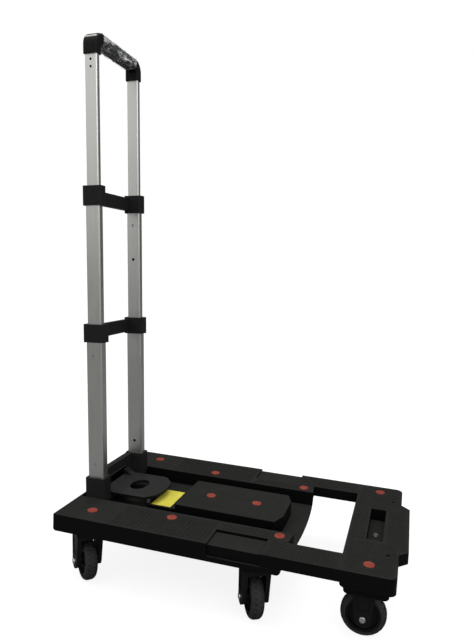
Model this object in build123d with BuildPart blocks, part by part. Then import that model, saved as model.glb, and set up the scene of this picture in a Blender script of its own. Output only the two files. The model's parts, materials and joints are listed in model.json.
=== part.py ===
from build123d import *

import os
from math import cos, radians, sin

# A folding platform cart: a moulded base deck on four swivel casters, a U-shaped deck extension
# on two more that slides out of the front, and a three-stage telescopic handle that folds forward.
# +X is forward (the way the deck extends), +Y is left, +Z is up. The floor is at Z 0 and the
# origin is on the floor under the middle of the whole cart. Millimetres.

SIDES = {"left": 1, "right": -1}

running_gap = 0.06
seat_gap = 0.05

# Telescopic tubes: depth along X, width along Y. Each inner tube slides in the one outside it.
tube_spacing = 170.0
outer_tube_depth = 34.0
outer_tube_width = 19.0
tube_walls = [1.4, 1.2, 1.2]
tube_depth_gaps = [0.6, 0.8]
tube_width_gaps = [0.4, 0.5]
tube_corner = 3.5
tube_depths = [outer_tube_depth]
tube_widths = [outer_tube_width]
for inner in range(2):
    tube_depths.append(tube_depths[inner] - 2 * tube_walls[inner] - 2 * tube_depth_gaps[inner])
    tube_widths.append(tube_widths[inner] - 2 * tube_walls[inner] - 2 * tube_width_gaps[inner])
tube_y = tube_spacing / 2

# Handle hinge and its bracket
hinge_from_rear = 31.0
lean = 2.5                  # backward lean of the raised handle, degrees
hinge_pin_radius = 4.0
bracket_wall = 4.0          # socket wall before and behind the tube
bracket_cheek = 5.0         # socket wall beside the tube
bracket_gap = 2.5           # round the bracket where it turns between the rails
bracket_depth = tube_depths[0] + 2 * bracket_wall
bracket_width = tube_widths[0] + 2 * bracket_cheek
bracket_height = 43.0
bracket_rounding = 3.0
tube_foot = 24.0            # heights along the tubes are measured from the hinge
beam_low = 24.0
beam_drop = 1.0             # the crossbeam's top below the bracket's top
beam_front = 6.0
beam_back = bracket_depth / 2 - 1.0
hinge_pin_inner = tube_y + 3.0
hinge_pin_length = 30.0
hinge_pin_outer = hinge_pin_inner + hinge_pin_length

# Casters
wheel_radius = 39.0
wheel_width = 24.0
rim_radius = 30.0
rim_web = 4.0
hub_recess = 5.0
hub_shoulder = 1.0          # the rim stands this far inside the tyre's sides
hub_boss_radius = 9.0
hub_end_gap = 0.4
tread_rounding = 9.0
tread_notches = 26
tread_notch_depth = 2.2
tread_notch_width = 3.4
tread_band = 3.0            # half the plain band in the middle of the tread
wheel_clearance = 6.5       # between the tyre and the fork's crown
trail = 14.0
plate_size = 48.0
plate_corner = 6.0
plate_thickness = 3.0
plate_bolt_inset = 7.0
plate_bolt_radius = 3.6
plate_bolt_gap = 0.2
race_radius = 18.0
race_height = 1.5
king_pin_radius = 5.0
king_pin_head = 8.0
king_pin_head_height = 3.0
crown_gap = 0.3
crown_length = 54.0
crown_setback = 7.0         # the crown's middle lies this far behind the swivel axis
crown_width = 49.0
crown_thickness = 10.0
crown_corner = 6.0
leg_thickness = 8.0
leg_top_half = 20.5
leg_foot_radius = 14.0
leg_panel_depth = 1.5
leg_panel_border = 5.0
axle_radius = 4.0
axle_head_radius = 5.5
axle_head_height = 3.0

# Heights, added up from the floor to the deck
floor_thickness = 3.5
skin = 3.0
boss_height = 8.7
crown_bottom = 2 * wheel_radius + wheel_clearance
crown_top = crown_bottom + crown_thickness
boss_bottom = crown_top + crown_gap + race_height + plate_thickness
base_bottom = boss_bottom + boss_height
floor_top = base_bottom + floor_thickness
hinge_height = floor_top + bracket_gap + bracket_depth / 2
deck_top = hinge_height + hinge_pin_radius + 1.0
flange_top = base_bottom + 9.0
slide_rise = 2.0            # the extension's body runs this far above the flange
slide_gap = 0.5
extension_bottom = flange_top + slide_rise

# Widths
deck_width = 390.0
rail_inner = tube_y + bracket_width / 2 + bracket_gap     # half the gap between the side rails
rail_step = rail_inner + 35.0   # outer face of the rail's narrow front half, from the middle
rear_wall = 4.0
deck_rounding = 1.2
rear_chamfer = 3.5

# Lengths along the cart, measured forward from the base deck's rear edge
base_front = 432.0
front_bulge = 8.0           # the front edge of the base arches forward by this much
front_rounding = 8.0
extension_travel = 88.0
arm_overlap = 89.0          # arm left inside the rail when the deck is extended
body_overlap = 8.0          # arm that runs on into the extension's body
pocket_end_gap = 14.0
notch_start = base_front - 131.0            # where the full-width rail ends
window_front = base_front + 6.0 + extension_travel
body_start = notch_start + 7.0 + extension_travel
corner_front = window_front + 91.6
tongue_front = corner_front + 16.2
tongue_half = 93.4
tongue_base_half = 110.0
corner_radius = 14.0

# Moulding cells under the inner half of each rail
cells_start = 112.0
cells_end = notch_start + 15.0
cell_length = 22.0
cell_rows = 2
cell_width = (rail_step - rail_inner - (cell_rows + 1) * skin) / cell_rows
cell_columns = int((cells_end - cells_start) / (cell_length + skin))

# Carrying slot in the front panel
slot_centre = window_front + 48.2
slot_length = 29.0
slot_width = 139.5
slot_corner = 1.5
slot_floor = flange_top
keel_margin = 15.0
keel_depth = 5.0
keel_corner = 8.0

# Caster places, bosses and housings: distance from the rear edge, from the middle, heading
caster_side = deck_width / 2 - 57.0
front_caster_side = deck_width / 2 - 65.5
caster_places = {
    "rear": (35.2, caster_side, 136.0),
    "mid": (base_front - 60.4, caster_side, 119.0),
    "front": (window_front + 55.1, front_caster_side, 0.0),
}
boss_corner = 6.0
rear_boss = (8.0, 62.0)
mid_boss = (base_front - 90.0, base_front - 8.0)
boss_half_width = 27.0
shelf_bottom = base_bottom + 2.0
shelf_rear = window_front + 1.3
shelf_inset = 0.5
housing_bottom = crown_top + 1.0
housing_rear = window_front + 8.0
housing_front = corner_front - 10.1
housing_inset = 8.5
housing_inner = front_caster_side - 39.5
housing_corner = 9.0
housing_rounding = 4.0
plate_fit = 0.5

# Raised centre cover
cover_start = 188.0
cover_end = base_front - 30.0
cover_half = tube_y - 18.0
cover_nose_half = cover_half - 30.0
cover_chamfer = 11.0
cover_corner = 5.0
cover_rounding = 1.5
ledge_start = 122.0
ledge_half = cover_half - 22.0
ledge_top = base_bottom + 11.0
sticker_start = ledge_start + 5.0
sticker_end = cover_start - 19.0
sticker_half = ledge_half - 5.0
sticker_thickness = 0.3

# Anti-slip pads
pad_radius = 9.5
pad_rise = 1.5
pad_seat = 1.0
pad_fit = 0.1
pad_rounding = 0.9
base_pad_places = [
    (58.4, deck_width / 2 - 40.0),
    (notch_start - 93.0, rail_inner + 23.0),
    (base_front - 19.4, (rail_inner + rail_step) / 2),
]
cover_pad_places = [cover_start + 54.0, cover_end - 63.0]
extension_pad_place = (window_front + 45.7, deck_width / 2 - 33.0)

# Bridges: a collar round the end of each tube of a stage, joined by a crossbar
lower_collar_base = 315.0
lower_collar_height = 35.5
upper_collar_base = 580.0
upper_collar_height = 37.5
collar_lip = 1.5
collar_lip_gap = 0.3
collar_depth_margin = 5.5
collar_width_margin = 3.0
collar_corner = 5.0
crossbar_height = 27.0
crossbar_thickness = 11.0
crossbar_setback = 1.0

# Grip
grip_base = 862.0
grip_height = 41.0
grip_depth = 30.0
grip_bar_lift = 21.5
grip_half = tube_y + 10.0
grip_leg_inner = tube_y - 10.0
grip_corner = 24.0
grip_rounding = 4.5
grip_socket_depth = 33.0
peg_length = 36.0
film_gap = 0.6
film_thickness = 0.6
film_half = grip_leg_inner - 6.0
film_corner = 3.0

# Guide bushes and detent plungers inside the tubes
collar_stop_gap = 0.5       # left between the bridges when the middle stage is in
grip_stop_gap = 1.5         # left under the grip when the top stage is in
stage2_travel = upper_collar_base - lower_collar_base - lower_collar_height - collar_stop_gap
stage3_travel = grip_base - upper_collar_base - upper_collar_height - grip_stop_gap
bush_gap = 0.2
bush2_length = 20.0
bush2_plug = 6.0
bush3_length = 19.0
bush3_plug = 12.0
stage2_foot = lower_collar_base - 19.0
stage3_foot = upper_collar_base - 13.0
plunger_radius = 2.8
plunger_hole_gap = 0.3
plunger_travel = 2.5
plunger_wall_gap = 0.1      # between the plunger's nose and the outer tube's wall
plunger_start = 0.6         # where the plunger begins, from the tube's middle
plunger_rounding = 1.4
lower_detent = stage2_foot - 9.0
upper_detent = stage3_foot - 14.0
mid_detent = upper_detent - 74.0
assembly_hole = 71.0
assembly_hole_radius = 3.1
assembly_dimple_radius = 1.3
screw_places = [grip_base - 24.0, grip_base - 10.5]
screw_radius = 2.4
screw_start = 0.5
screw_recess = 1.0

# Release pedal
pedal_rear = 22.0
pedal_shoulder = 118.0
pedal_corner = 137.0
pedal_tip = 143.0
pedal_half = tube_y - bracket_width / 2 - 10.5
pedal_nose_half = pedal_half - 22.0
pedal_top = deck_top - 1.0
pedal_thickness = 5.5
pedal_rounding = 1.6
pedal_corner_radius = 12.0
pedal_hole_centre = 80.5
pedal_hole_length = 35.0
pedal_hole_width = 53.0
pedal_pivot_from_rear = 26.0
pedal_pivot_height = deck_top - 16.0
pedal_pin_radius = 3.0
pedal_pin_half = pedal_half - 2.0
pedal_pin_chamfer = 0.6
pedal_lug_centre = pedal_half - 14.0
pedal_lug_half = 5.6
pedal_ear_centre = pedal_half - 6.5
ear_thickness = 5.0
ear_radius = 8.0
ramp_root = 2.0             # how far ramps and lugs run up into the pedal's plate
ramp_centre = pedal_half - 13.0
ramp_width = 18.0
ramp_height = 10.0
ramp_flat = 6.0
ramp_length = 30.0
ramp_edge = 1.5
ramp_sag = -3.0             # the ramp dips this far below a straight slope
spring_from_rear = 114.0
spring_side = 27.0
spring_radius = 5.0
spring_wire = 1.5
spring_turns = 4
spring_gap = 0.2

# Screws and the slot's bolt
cover_screw_radius = 1.9
cover_screw_hole_gap = 0.3
cover_screw_head = 4.0
cover_screw_head_height = 1.6
cover_screw_length = 14.0
cover_screw_bore = 15.0
cover_screw_side = cover_half - 17.0
cover_screw_places = [(cover_start + 17.0, cover_screw_side), (cover_end - 27.0, cover_screw_side)]
post_radius = 5.5
post_root = 0.5
panel_screw_place = (corner_front - 17.6, tongue_base_half + 8.0)
panel_screw_radius = 3.5
panel_screw_gap = 0.3
panel_screw_depth = 4.0
panel_screw_height = 3.0
panel_screw_floor = 1.2
panel_screw_socket = 1.8
bolt_flats = 4.2
bolt_height = 3.0
bolt_flange_radius = 5.2
bolt_flange_height = 0.8

# The leaning handle's film-wrapped top is the rearmost point and the tongue the foremost one.
wrap = film_gap + film_thickness
grip_top = grip_base + grip_height
rearmost = hinge_from_rear - sin(radians(lean)) * (grip_top + wrap) - cos(radians(lean)) * (
    grip_depth / 2 + wrap
)
REAR = -(rearmost + tongue_front) / 2


def ahead(distance):
    """X of a point this far forward of the base deck's rear edge."""
    return REAR + distance


hinge = Vector(ahead(hinge_from_rear), 0, hinge_height)
up_the_tube = Vector(-sin(radians(lean)), 0, cos(radians(lean)))
out_of_the_tube = Vector(cos(radians(lean)), 0, sin(radians(lean)))
# Cross sections of the handle: local x forward, local y left, offsets run up the tubes.
handle = Plane(origin=hinge, x_dir=out_of_the_tube, z_dir=up_the_tube)
# Front view of the handle: local x left, local y up the tubes.
handle_front = Plane(origin=hinge, x_dir=(0, 1, 0), z_dir=out_of_the_tube)
pivot = Vector(ahead(pedal_pivot_from_rear), 0, pedal_pivot_height)

pieces = {}


def keep(part, name):
    """Label a finished piece and list it for export."""
    part.label = name
    pieces[name] = part


def along_y(point, y):
    """A plane facing +Y through a point: local x backward, local y up."""
    return Plane(origin=(point.X, y, point.Z), x_dir=(-1, 0, 0), z_dir=(0, 1, 0))


def along_tube(height, y, outward):
    """A plane facing out of a tube's side at a height along the handle."""
    centre = hinge + up_the_tube * height
    return Plane(origin=(centre.X, y, centre.Z), x_dir=up_the_tube, z_dir=(0, outward, 0))


# ---------------------------------------------------------------- base deck

notch_middle = (ahead(notch_start) + ahead(base_front + front_bulge)) / 2
notch_length = base_front + front_bulge - notch_start
step_middle = (rail_step + deck_width / 2) / 2
pocket_inner = rail_step + 2.5
pocket_outer = deck_width / 2 - skin
pocket_start = notch_start - arm_overlap - extension_travel - pocket_end_gap

with BuildPart() as base_deck:
    with BuildSketch(Plane.XY.offset(base_bottom)):
        with BuildLine():
            Polyline(
                (ahead(base_front), rail_step),
                (ahead(base_front), deck_width / 2),
                (ahead(0), deck_width / 2),
                (ahead(0), -deck_width / 2),
                (ahead(base_front), -deck_width / 2),
                (ahead(base_front), -rail_step),
            )
            ThreePointArc(
                (ahead(base_front), -rail_step),
                (ahead(base_front + front_bulge), 0),
                (ahead(base_front), rail_step),
            )
        make_face()
    extrude(amount=deck_top - base_bottom)
    # the corner steps that the extension's body slides back into, above a thin flange
    with BuildSketch(Plane.XY.offset(flange_top)):
        for side in SIDES.values():
            with Locations((notch_middle, side * step_middle)):
                Rectangle(notch_length, deck_width / 2 - rail_step)
    extrude(amount=deck_top - flange_top, mode=Mode.SUBTRACT)
    # the recess between the rails, open at the front
    with BuildSketch(Plane.XY.offset(floor_top)):
        with Locations((ahead(rear_wall), 0)):
            Rectangle(base_front + front_bulge, 2 * rail_inner, align=(Align.MIN, Align.CENTER))
    extrude(amount=deck_top - floor_top, mode=Mode.SUBTRACT)
    fillet(base_deck.faces().sort_by(Axis.Z)[-2:].edges().filter_by(Axis.X), deck_rounding)
    # the pockets that hold the extension's arms
    with BuildSketch(Plane.XY.offset(flange_top)):
        for side in SIDES.values():
            with Locations(((ahead(pocket_start) + ahead(notch_start)) / 2,
                            side * (pocket_inner + pocket_outer) / 2)):
                Rectangle(notch_start - pocket_start, pocket_outer - pocket_inner)
    extrude(amount=deck_top - skin - flange_top, mode=Mode.SUBTRACT)
    # moulding cells under the inner half of each rail
    with BuildSketch(Plane.XY.offset(base_bottom)):
        for side in SIDES.values():
            with Locations((ahead((cells_start + cells_end) / 2), side * (rail_inner + rail_step) / 2)):
                with GridLocations(cell_length + skin, cell_width + skin, cell_columns, cell_rows):
                    RectangleRounded(cell_length, cell_width, cell_width / 4)
    extrude(amount=deck_top - base_bottom - skin, mode=Mode.SUBTRACT)
    # bosses for the four casters
    with BuildSketch(Plane.XY.offset(boss_bottom)):
        for boss_start, boss_end in (rear_boss, mid_boss):
            for side in SIDES.values():
                with Locations((ahead((boss_start + boss_end) / 2), side * caster_side)):
                    RectangleRounded(boss_end - boss_start, 2 * boss_half_width, boss_corner)
    extrude(amount=boss_height)
    # the underside: a bevel along the rear edge and a rounded lower edge before the corner steps
    chamfer(base_deck.edges().filter_by(Axis.Y).filter_by_position(
        Axis.Z, base_bottom - 0.1, base_bottom + 0.1).sort_by(Axis.X)[0], rear_chamfer)
    for side in SIDES.values():
        with BuildSketch(Plane(origin=(ahead(base_front), side * rail_step, base_bottom),
                               x_dir=(1, 0, 0), z_dir=(0, -1, 0))):
            Rectangle(front_rounding, front_rounding, align=(Align.MAX, Align.MIN))
            with Locations((-front_rounding, front_rounding)):
                Circle(front_rounding, mode=Mode.SUBTRACT)
        extrude(amount=-side * (deck_width / 2 - rail_step), mode=Mode.SUBTRACT)
    # ears for the release pedal's pin
    for side in SIDES.values():
        with BuildSketch(along_y(pivot, side * pedal_ear_centre)):
            Circle(ear_radius)
            with Locations((0, (floor_top - pivot.Z) / 2)):
                Rectangle(2 * ear_radius, pivot.Z - floor_top)
        extrude(amount=ear_thickness / 2, both=True)
    with BuildSketch(along_y(pivot, 0)):
        Circle(pedal_pin_radius + seat_gap)
    extrude(amount=pedal_pin_half + 1, both=True, mode=Mode.SUBTRACT)
    # blind holes for the handle's hinge pins
    for side in SIDES.values():
        with BuildSketch(along_y(hinge, side * hinge_pin_outer)):
            Circle(hinge_pin_radius + seat_gap)
        extrude(amount=-side * (hinge_pin_outer - hinge_pin_inner), mode=Mode.SUBTRACT)
    # seats for the pads
    with BuildSketch(Plane.XY.offset(deck_top)):
        for distance, y in base_pad_places:
            for side in SIDES.values():
                with Locations((ahead(distance), side * y)):
                    Circle(pad_radius + pad_fit)
    extrude(amount=-pad_seat, mode=Mode.SUBTRACT)
    # holes for the centre cover's screws
    with BuildSketch(Plane.XY.offset(base_bottom)):
        for distance, y in cover_screw_places:
            for side in SIDES.values():
                with Locations((ahead(distance), side * y)):
                    Circle(cover_screw_radius + cover_screw_hole_gap)
    extrude(amount=floor_thickness, mode=Mode.SUBTRACT)
keep(base_deck.part, "base_deck")

# ---------------------------------------------------------------- centre cover

with BuildPart() as centre_cover:
    with BuildSketch(Plane.XY.offset(floor_top)) as cover_outline:
        with BuildLine():
            Polyline(
                (ahead(cover_start), -cover_half),
                (ahead(cover_end - cover_chamfer), -cover_half),
                (ahead(cover_end), -cover_nose_half),
                (ahead(cover_end), cover_nose_half),
                (ahead(cover_end - cover_chamfer), cover_half),
                (ahead(cover_start), cover_half),
                close=True,
            )
        make_face()
        fillet(cover_outline.vertices(), cover_corner)
    extrude(amount=deck_top - floor_top)
    fillet(centre_cover.faces().sort_by(Axis.Z)[-1].edges(), cover_rounding)
    with BuildSketch(Plane.XY.offset(floor_top)):
        offset(cover_outline.sketch, amount=-skin)
    extrude(amount=deck_top - skin - floor_top, mode=Mode.SUBTRACT)
    # screw posts inside the cover
    with BuildSketch(Plane.XY.offset(floor_top)):
        for distance, y in cover_screw_places:
            for side in SIDES.values():
                with Locations((ahead(distance), side * y)):
                    Circle(post_radius)
    extrude(amount=deck_top - skin - floor_top + post_root)
    # the low ledge that carries the sticker
    with BuildSketch(Plane.XY.offset(floor_top)):
        with Locations((ahead(ledge_start), 0)):
            Rectangle(cover_start - ledge_start + skin, 2 * ledge_half, align=(Align.MIN, Align.CENTER))
    extrude(amount=ledge_top - floor_top)
    with BuildSketch(Plane.XY.offset(floor_top)):
        for distance, y in cover_screw_places:
            for side in SIDES.values():
                with Locations((ahead(distance), side * y)):
                    Circle(cover_screw_radius + seat_gap)
    extrude(amount=cover_screw_bore, mode=Mode.SUBTRACT)
    with BuildSketch(Plane.XY.offset(deck_top)):
        for distance in cover_pad_places:
            with Locations((ahead(distance), 0)):
                Circle(pad_radius + pad_fit)
    extrude(amount=-pad_seat, mode=Mode.SUBTRACT)
keep(centre_cover.part, "centre_cover")

with BuildPart() as cover_screws:
    for distance, y in cover_screw_places:
        for side in SIDES.values():
            with BuildSketch(Plane.XY.offset(base_bottom)):
                with Locations((ahead(distance), side * y)):
                    Circle(cover_screw_head)
            extrude(amount=-cover_screw_head_height)
            with BuildSketch(Plane.XY.offset(base_bottom)):
                with Locations((ahead(distance), side * y)):
                    Circle(cover_screw_radius)
            extrude(amount=cover_screw_length)
keep(cover_screws.part, "cover_screws")

with BuildPart() as blank_sticker:
    with BuildSketch(Plane.XY.offset(ledge_top)):
        with Locations((ahead(sticker_start), 0)):
            Rectangle(sticker_end - sticker_start, 2 * sticker_half, align=(Align.MIN, Align.CENTER))
    extrude(amount=sticker_thickness)
keep(blank_sticker.part, "blank_sticker")


def make_pads(places):
    """Round anti-slip pads standing slightly proud of the deck."""
    with BuildPart() as pads:
        with BuildSketch(Plane.XY.offset(deck_top - pad_seat)):
            with Locations(places):
                Circle(pad_radius)
        extrude(amount=pad_seat + pad_rise)
        fillet(pads.faces().filter_by(Axis.Z).group_by(Axis.Z)[-1].edges(), pad_rounding)
    return pads.part


base_pad_points = [(ahead(d), s * y) for d, y in base_pad_places for s in SIDES.values()]
base_pad_points += [(ahead(d), 0) for d in cover_pad_places]
keep(make_pads(base_pad_points), "base_pads")
pad_distance, pad_side = extension_pad_place
extension_pad_points = [(ahead(pad_distance), s * pad_side) for s in SIDES.values()]
keep(make_pads(extension_pad_points), "extension_pads")

# ---------------------------------------------------------------- extension

arm_inner = pocket_inner + 3 * slide_gap
arm_outer = pocket_outer - slide_gap
front_caster_points = [(ahead(caster_places["front"][0]), s * front_caster_side) for s in SIDES.values()]
body_inner = rail_step + 2 * slide_gap

with BuildPart() as extension_frame:
    with BuildSketch(Plane.XY.offset(extension_bottom)) as extension_outline:
        with BuildLine():
            Polyline(
                (ahead(body_start), body_inner),
                (ahead(body_start), deck_width / 2),
                (ahead(corner_front), deck_width / 2),
                (ahead(corner_front), tongue_base_half),
                (ahead(tongue_front), tongue_half),
                (ahead(tongue_front), -tongue_half),
                (ahead(corner_front), -tongue_base_half),
                (ahead(corner_front), -deck_width / 2),
                (ahead(body_start), -deck_width / 2),
                (ahead(body_start), -body_inner),
                (ahead(window_front), -body_inner),
                (ahead(window_front), body_inner),
                close=True,
            )
        make_face()
        outer_corners = extension_outline.vertices().filter_by(
            lambda v: v.X > ahead(corner_front) - 1 and abs(v.Y) > deck_width / 2 - 1
        )
        fillet(outer_corners, corner_radius)
    extrude(amount=deck_top - extension_bottom)
    fillet(extension_frame.faces().sort_by(Axis.Z)[-1].edges(), deck_rounding)
    # arms that run back into the rails
    with BuildSketch(Plane.XY.offset(flange_top + slide_gap)):
        for side in SIDES.values():
            with Locations(((ahead(notch_start - arm_overlap) + ahead(body_start + body_overlap)) / 2,
                            side * (arm_inner + arm_outer) / 2)):
                Rectangle(body_start + body_overlap - notch_start + arm_overlap, arm_outer - arm_inner)
    extrude(amount=deck_top - skin - slide_gap - flange_top - slide_gap)
    # stepped caster housings under the two front corners
    with BuildSketch(Plane.XY.offset(shelf_bottom)):
        for side in SIDES.values():
            with Locations(((ahead(shelf_rear) + ahead(corner_front)) / 2,
                            side * (housing_inner + deck_width / 2 - shelf_inset) / 2)):
                RectangleRounded(corner_front - shelf_rear,
                                 deck_width / 2 - shelf_inset - housing_inner, corner_radius)
    extrude(amount=extension_bottom - shelf_bottom)
    with BuildSketch(Plane.XY.offset(housing_bottom)):
        for side in SIDES.values():
            with Locations(((ahead(housing_rear) + ahead(housing_front)) / 2,
                            side * (housing_inner + deck_width / 2 - housing_inset) / 2)):
                RectangleRounded(housing_front - housing_rear,
                                 deck_width / 2 - housing_inset - housing_inner, housing_corner)
    extrude(amount=shelf_bottom - housing_bottom)
    fillet(extension_frame.faces().filter_by(Axis.Z).group_by(Axis.Z)[0].edges(), housing_rounding)
    with BuildSketch(Plane.XY.offset(housing_bottom)):
        with Locations(front_caster_points):
            RectangleRounded(plate_size + 2 * plate_fit, plate_size + 2 * plate_fit, plate_corner)
    extrude(amount=boss_bottom - housing_bottom, mode=Mode.SUBTRACT)
    # the keel under the carrying slot
    with BuildSketch(Plane.XY.offset(extension_bottom - keel_depth)):
        with Locations((ahead(slot_centre), 0)):
            RectangleRounded(slot_length + 2 * keel_margin, slot_width + 2 * keel_margin, keel_corner)
    extrude(amount=keel_depth)
    # the carrying slot
    with BuildSketch(Plane.XY.offset(slot_floor)):
        with Locations((ahead(slot_centre), 0)):
            RectangleRounded(slot_length, slot_width, slot_corner)
    extrude(amount=deck_top - slot_floor, mode=Mode.SUBTRACT)
    # seats for pads and screws
    with BuildSketch(Plane.XY.offset(deck_top)):
        with Locations(extension_pad_points):
            Circle(pad_radius + pad_fit)
    extrude(amount=-pad_seat, mode=Mode.SUBTRACT)
    with BuildSketch(Plane.XY.offset(deck_top)):
        for side in SIDES.values():
            with Locations((ahead(panel_screw_place[0]), side * panel_screw_place[1])):
                Circle(panel_screw_radius + panel_screw_gap)
    extrude(amount=-panel_screw_depth, mode=Mode.SUBTRACT)
keep(extension_frame.part, "extension_frame")

with BuildPart() as panel_screws:
    for side in SIDES.values():
        with BuildSketch(Plane.XY.offset(deck_top - panel_screw_depth)):
            with Locations((ahead(panel_screw_place[0]), side * panel_screw_place[1])):
                Circle(panel_screw_radius)
                RegularPolygon(panel_screw_socket, 6, mode=Mode.SUBTRACT)
        extrude(amount=panel_screw_height)
        with BuildSketch(Plane.XY.offset(deck_top - panel_screw_depth)):
            with Locations((ahead(panel_screw_place[0]), side * panel_screw_place[1])):
                Circle(panel_screw_radius)
        extrude(amount=panel_screw_floor)
keep(panel_screws.part, "panel_screws")

with BuildPart() as slot_bolt:
    with BuildSketch(Plane.XY.offset(slot_floor)):
        with Locations((ahead(slot_centre), 0)):
            RegularPolygon(bolt_flats, 6)
    extrude(amount=bolt_height)
    with BuildSketch(Plane.XY.offset(slot_floor)):
        with Locations((ahead(slot_centre), 0)):
            Circle(bolt_flange_radius)
    extrude(amount=bolt_flange_height)
keep(slot_bolt.part, "slot_bolt")

# ---------------------------------------------------------------- release pedal

with BuildPart() as pedal:
    with BuildSketch(Plane.XY.offset(pedal_top - pedal_thickness)) as pedal_outline:
        with BuildLine():
            Polyline(
                (ahead(pedal_corner), pedal_nose_half),
                (ahead(pedal_shoulder), pedal_half),
                (ahead(pedal_rear), pedal_half),
                (ahead(pedal_rear), -pedal_half),
                (ahead(pedal_shoulder), -pedal_half),
                (ahead(pedal_corner), -pedal_nose_half),
            )
            ThreePointArc(
                (ahead(pedal_corner), -pedal_nose_half),
                (ahead(pedal_tip), 0),
                (ahead(pedal_corner), pedal_nose_half),
            )
        make_face()
        fillet(pedal_outline.vertices().sort_by(Axis.X)[2:], pedal_corner_radius)
        with Locations((ahead(pedal_hole_centre), 0)):
            Ellipse(pedal_hole_length / 2, pedal_hole_width / 2, mode=Mode.SUBTRACT)
    extrude(amount=pedal_thickness)
    fillet(pedal.faces().sort_by(Axis.Z)[-1].edges(), pedal_rounding)
    ramp_top = ramp_height + ramp_root
    for side in SIDES.values():
        # curved ramp that rises towards the crossbeam
        ramp = Plane(origin=(ahead(pedal_rear), side * ramp_centre, pedal_top - ramp_root),
                     x_dir=(1, 0, 0), z_dir=(0, -1, 0))
        with BuildSketch(ramp):
            with BuildLine():
                Line((0, 0), (0, ramp_top))
                Line((0, ramp_top), (ramp_flat, ramp_top))
                SagittaArc((ramp_flat, ramp_top), (ramp_length, ramp_edge), ramp_sag)
                Line((ramp_length, ramp_edge), (ramp_length, 0))
                Line((ramp_length, 0), (0, 0))
            make_face()
        extrude(amount=ramp_width / 2, both=True)
        # lug on the pivot pin
        with BuildSketch(along_y(pivot, side * pedal_lug_centre)):
            Circle(ear_radius)
            with Locations((0, (pedal_top - ramp_root - pivot.Z) / 2)):
                Rectangle(2 * pedal_lug_half, pedal_top - ramp_root - pivot.Z)
        extrude(amount=ear_thickness / 2, both=True)
    with BuildSketch(along_y(pivot, 0)):
        Circle(pedal_pin_radius + running_gap)
    extrude(amount=pedal_half, both=True, mode=Mode.SUBTRACT)
keep(pedal.part, "release_pedal")

with BuildPart() as pedal_pin:
    with BuildSketch(along_y(pivot, 0)):
        Circle(pedal_pin_radius)
    extrude(amount=pedal_pin_half, both=True)
    chamfer(pedal_pin.edges(), pedal_pin_chamfer)
keep(pedal_pin.part, "pedal_pin")

spring_bottom = floor_top + spring_wire / 2
spring_top = pedal_top - pedal_thickness - spring_wire / 2 - spring_gap
with BuildPart() as pedal_springs:
    for side in SIDES.values():
        centre = (ahead(spring_from_rear), side * spring_side, spring_bottom)
        with BuildLine() as coil:
            Helix((spring_top - spring_bottom) / spring_turns, spring_top - spring_bottom,
                  spring_radius, center=centre)
        with BuildSketch(Plane(origin=coil.line @ 0, z_dir=coil.line % 0)):
            Circle(spring_wire / 2)
        sweep(path=coil.line, is_frenet=True)
keep(pedal_springs.part, "pedal_springs")

# ---------------------------------------------------------------- folding handle

with BuildPart() as handle_bracket:
    for side in SIDES.values():
        with BuildSketch(handle):
            with Locations((0, side * tube_y)):
                Rectangle(bracket_depth, bracket_width)
        extrude(amount=bracket_height)
        with BuildSketch(along_y(hinge, side * tube_y)):
            Circle(bracket_depth / 2)
        extrude(amount=bracket_width / 2, both=True)
    upright = handle_bracket.edges().filter_by(lambda e: abs(e.length - bracket_height) < 0.01)
    fillet(upright, bracket_rounding)
    # the crossbeam that ties both sockets together
    with BuildSketch(handle.offset(beam_low)):
        with Locations((-(beam_back + beam_front) / 2, 0)):
            Rectangle(beam_back - beam_front, tube_spacing - bracket_width + 2)
    extrude(amount=bracket_height - beam_drop - beam_low)
    for side in SIDES.values():
        with BuildSketch(handle.offset(tube_foot)):
            with Locations((0, side * tube_y)):
                RectangleRounded(tube_depths[0] + 2 * seat_gap, tube_widths[0] + 2 * seat_gap, tube_corner)
        extrude(amount=bracket_height, mode=Mode.SUBTRACT)
        with BuildSketch(along_y(hinge, side * (hinge_pin_inner - 1))):
            Circle(hinge_pin_radius + running_gap)
        extrude(amount=side * bracket_width, mode=Mode.SUBTRACT)
keep(handle_bracket.part, "handle_bracket")

with BuildPart() as hinge_pins:
    for side in SIDES.values():
        with BuildSketch(along_y(hinge, side * hinge_pin_inner)):
            Circle(hinge_pin_radius)
        extrude(amount=side * (hinge_pin_outer - hinge_pin_inner - 0.2))
keep(hinge_pins.part, "hinge_pins")

tube_starts = [tube_foot, stage2_foot, stage3_foot]
tube_ends = [
    lower_collar_base + lower_collar_height - collar_lip,
    upper_collar_base + upper_collar_height - collar_lip,
    grip_base + grip_socket_depth,
]
# Holes in the tubes: stage, height, whether outward or inward, and radius
plunger_hole = plunger_radius + plunger_hole_gap
tube_holes = {
    0: [
        (lower_detent, 1, plunger_hole),
        (assembly_hole, 1, assembly_dimple_radius),
        (assembly_hole, -1, assembly_hole_radius),
    ],
    1: [(height, -1, plunger_hole) for height in (upper_detent, upper_detent - stage3_travel, mid_detent)],
    2: [(height, 1, screw_radius + seat_gap) for height in screw_places],
}


def make_tube(stage, side):
    """One rounded rectangular tube of the telescope, with its holes."""
    depth, width, wall = tube_depths[stage], tube_widths[stage], tube_walls[stage]
    with BuildPart() as tube:
        with BuildSketch(handle.offset(tube_starts[stage])):
            with Locations((0, side * tube_y)):
                RectangleRounded(depth, width, tube_corner)
                RectangleRounded(depth - 2 * wall, width - 2 * wall, tube_corner - wall, mode=Mode.SUBTRACT)
        extrude(amount=tube_ends[stage] - tube_starts[stage])
        for height, facing, radius in tube_holes[stage]:
            with BuildSketch(along_tube(height, side * tube_y, side * facing)):
                Circle(radius)
            extrude(amount=width, mode=Mode.SUBTRACT)
    return tube.part


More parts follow.
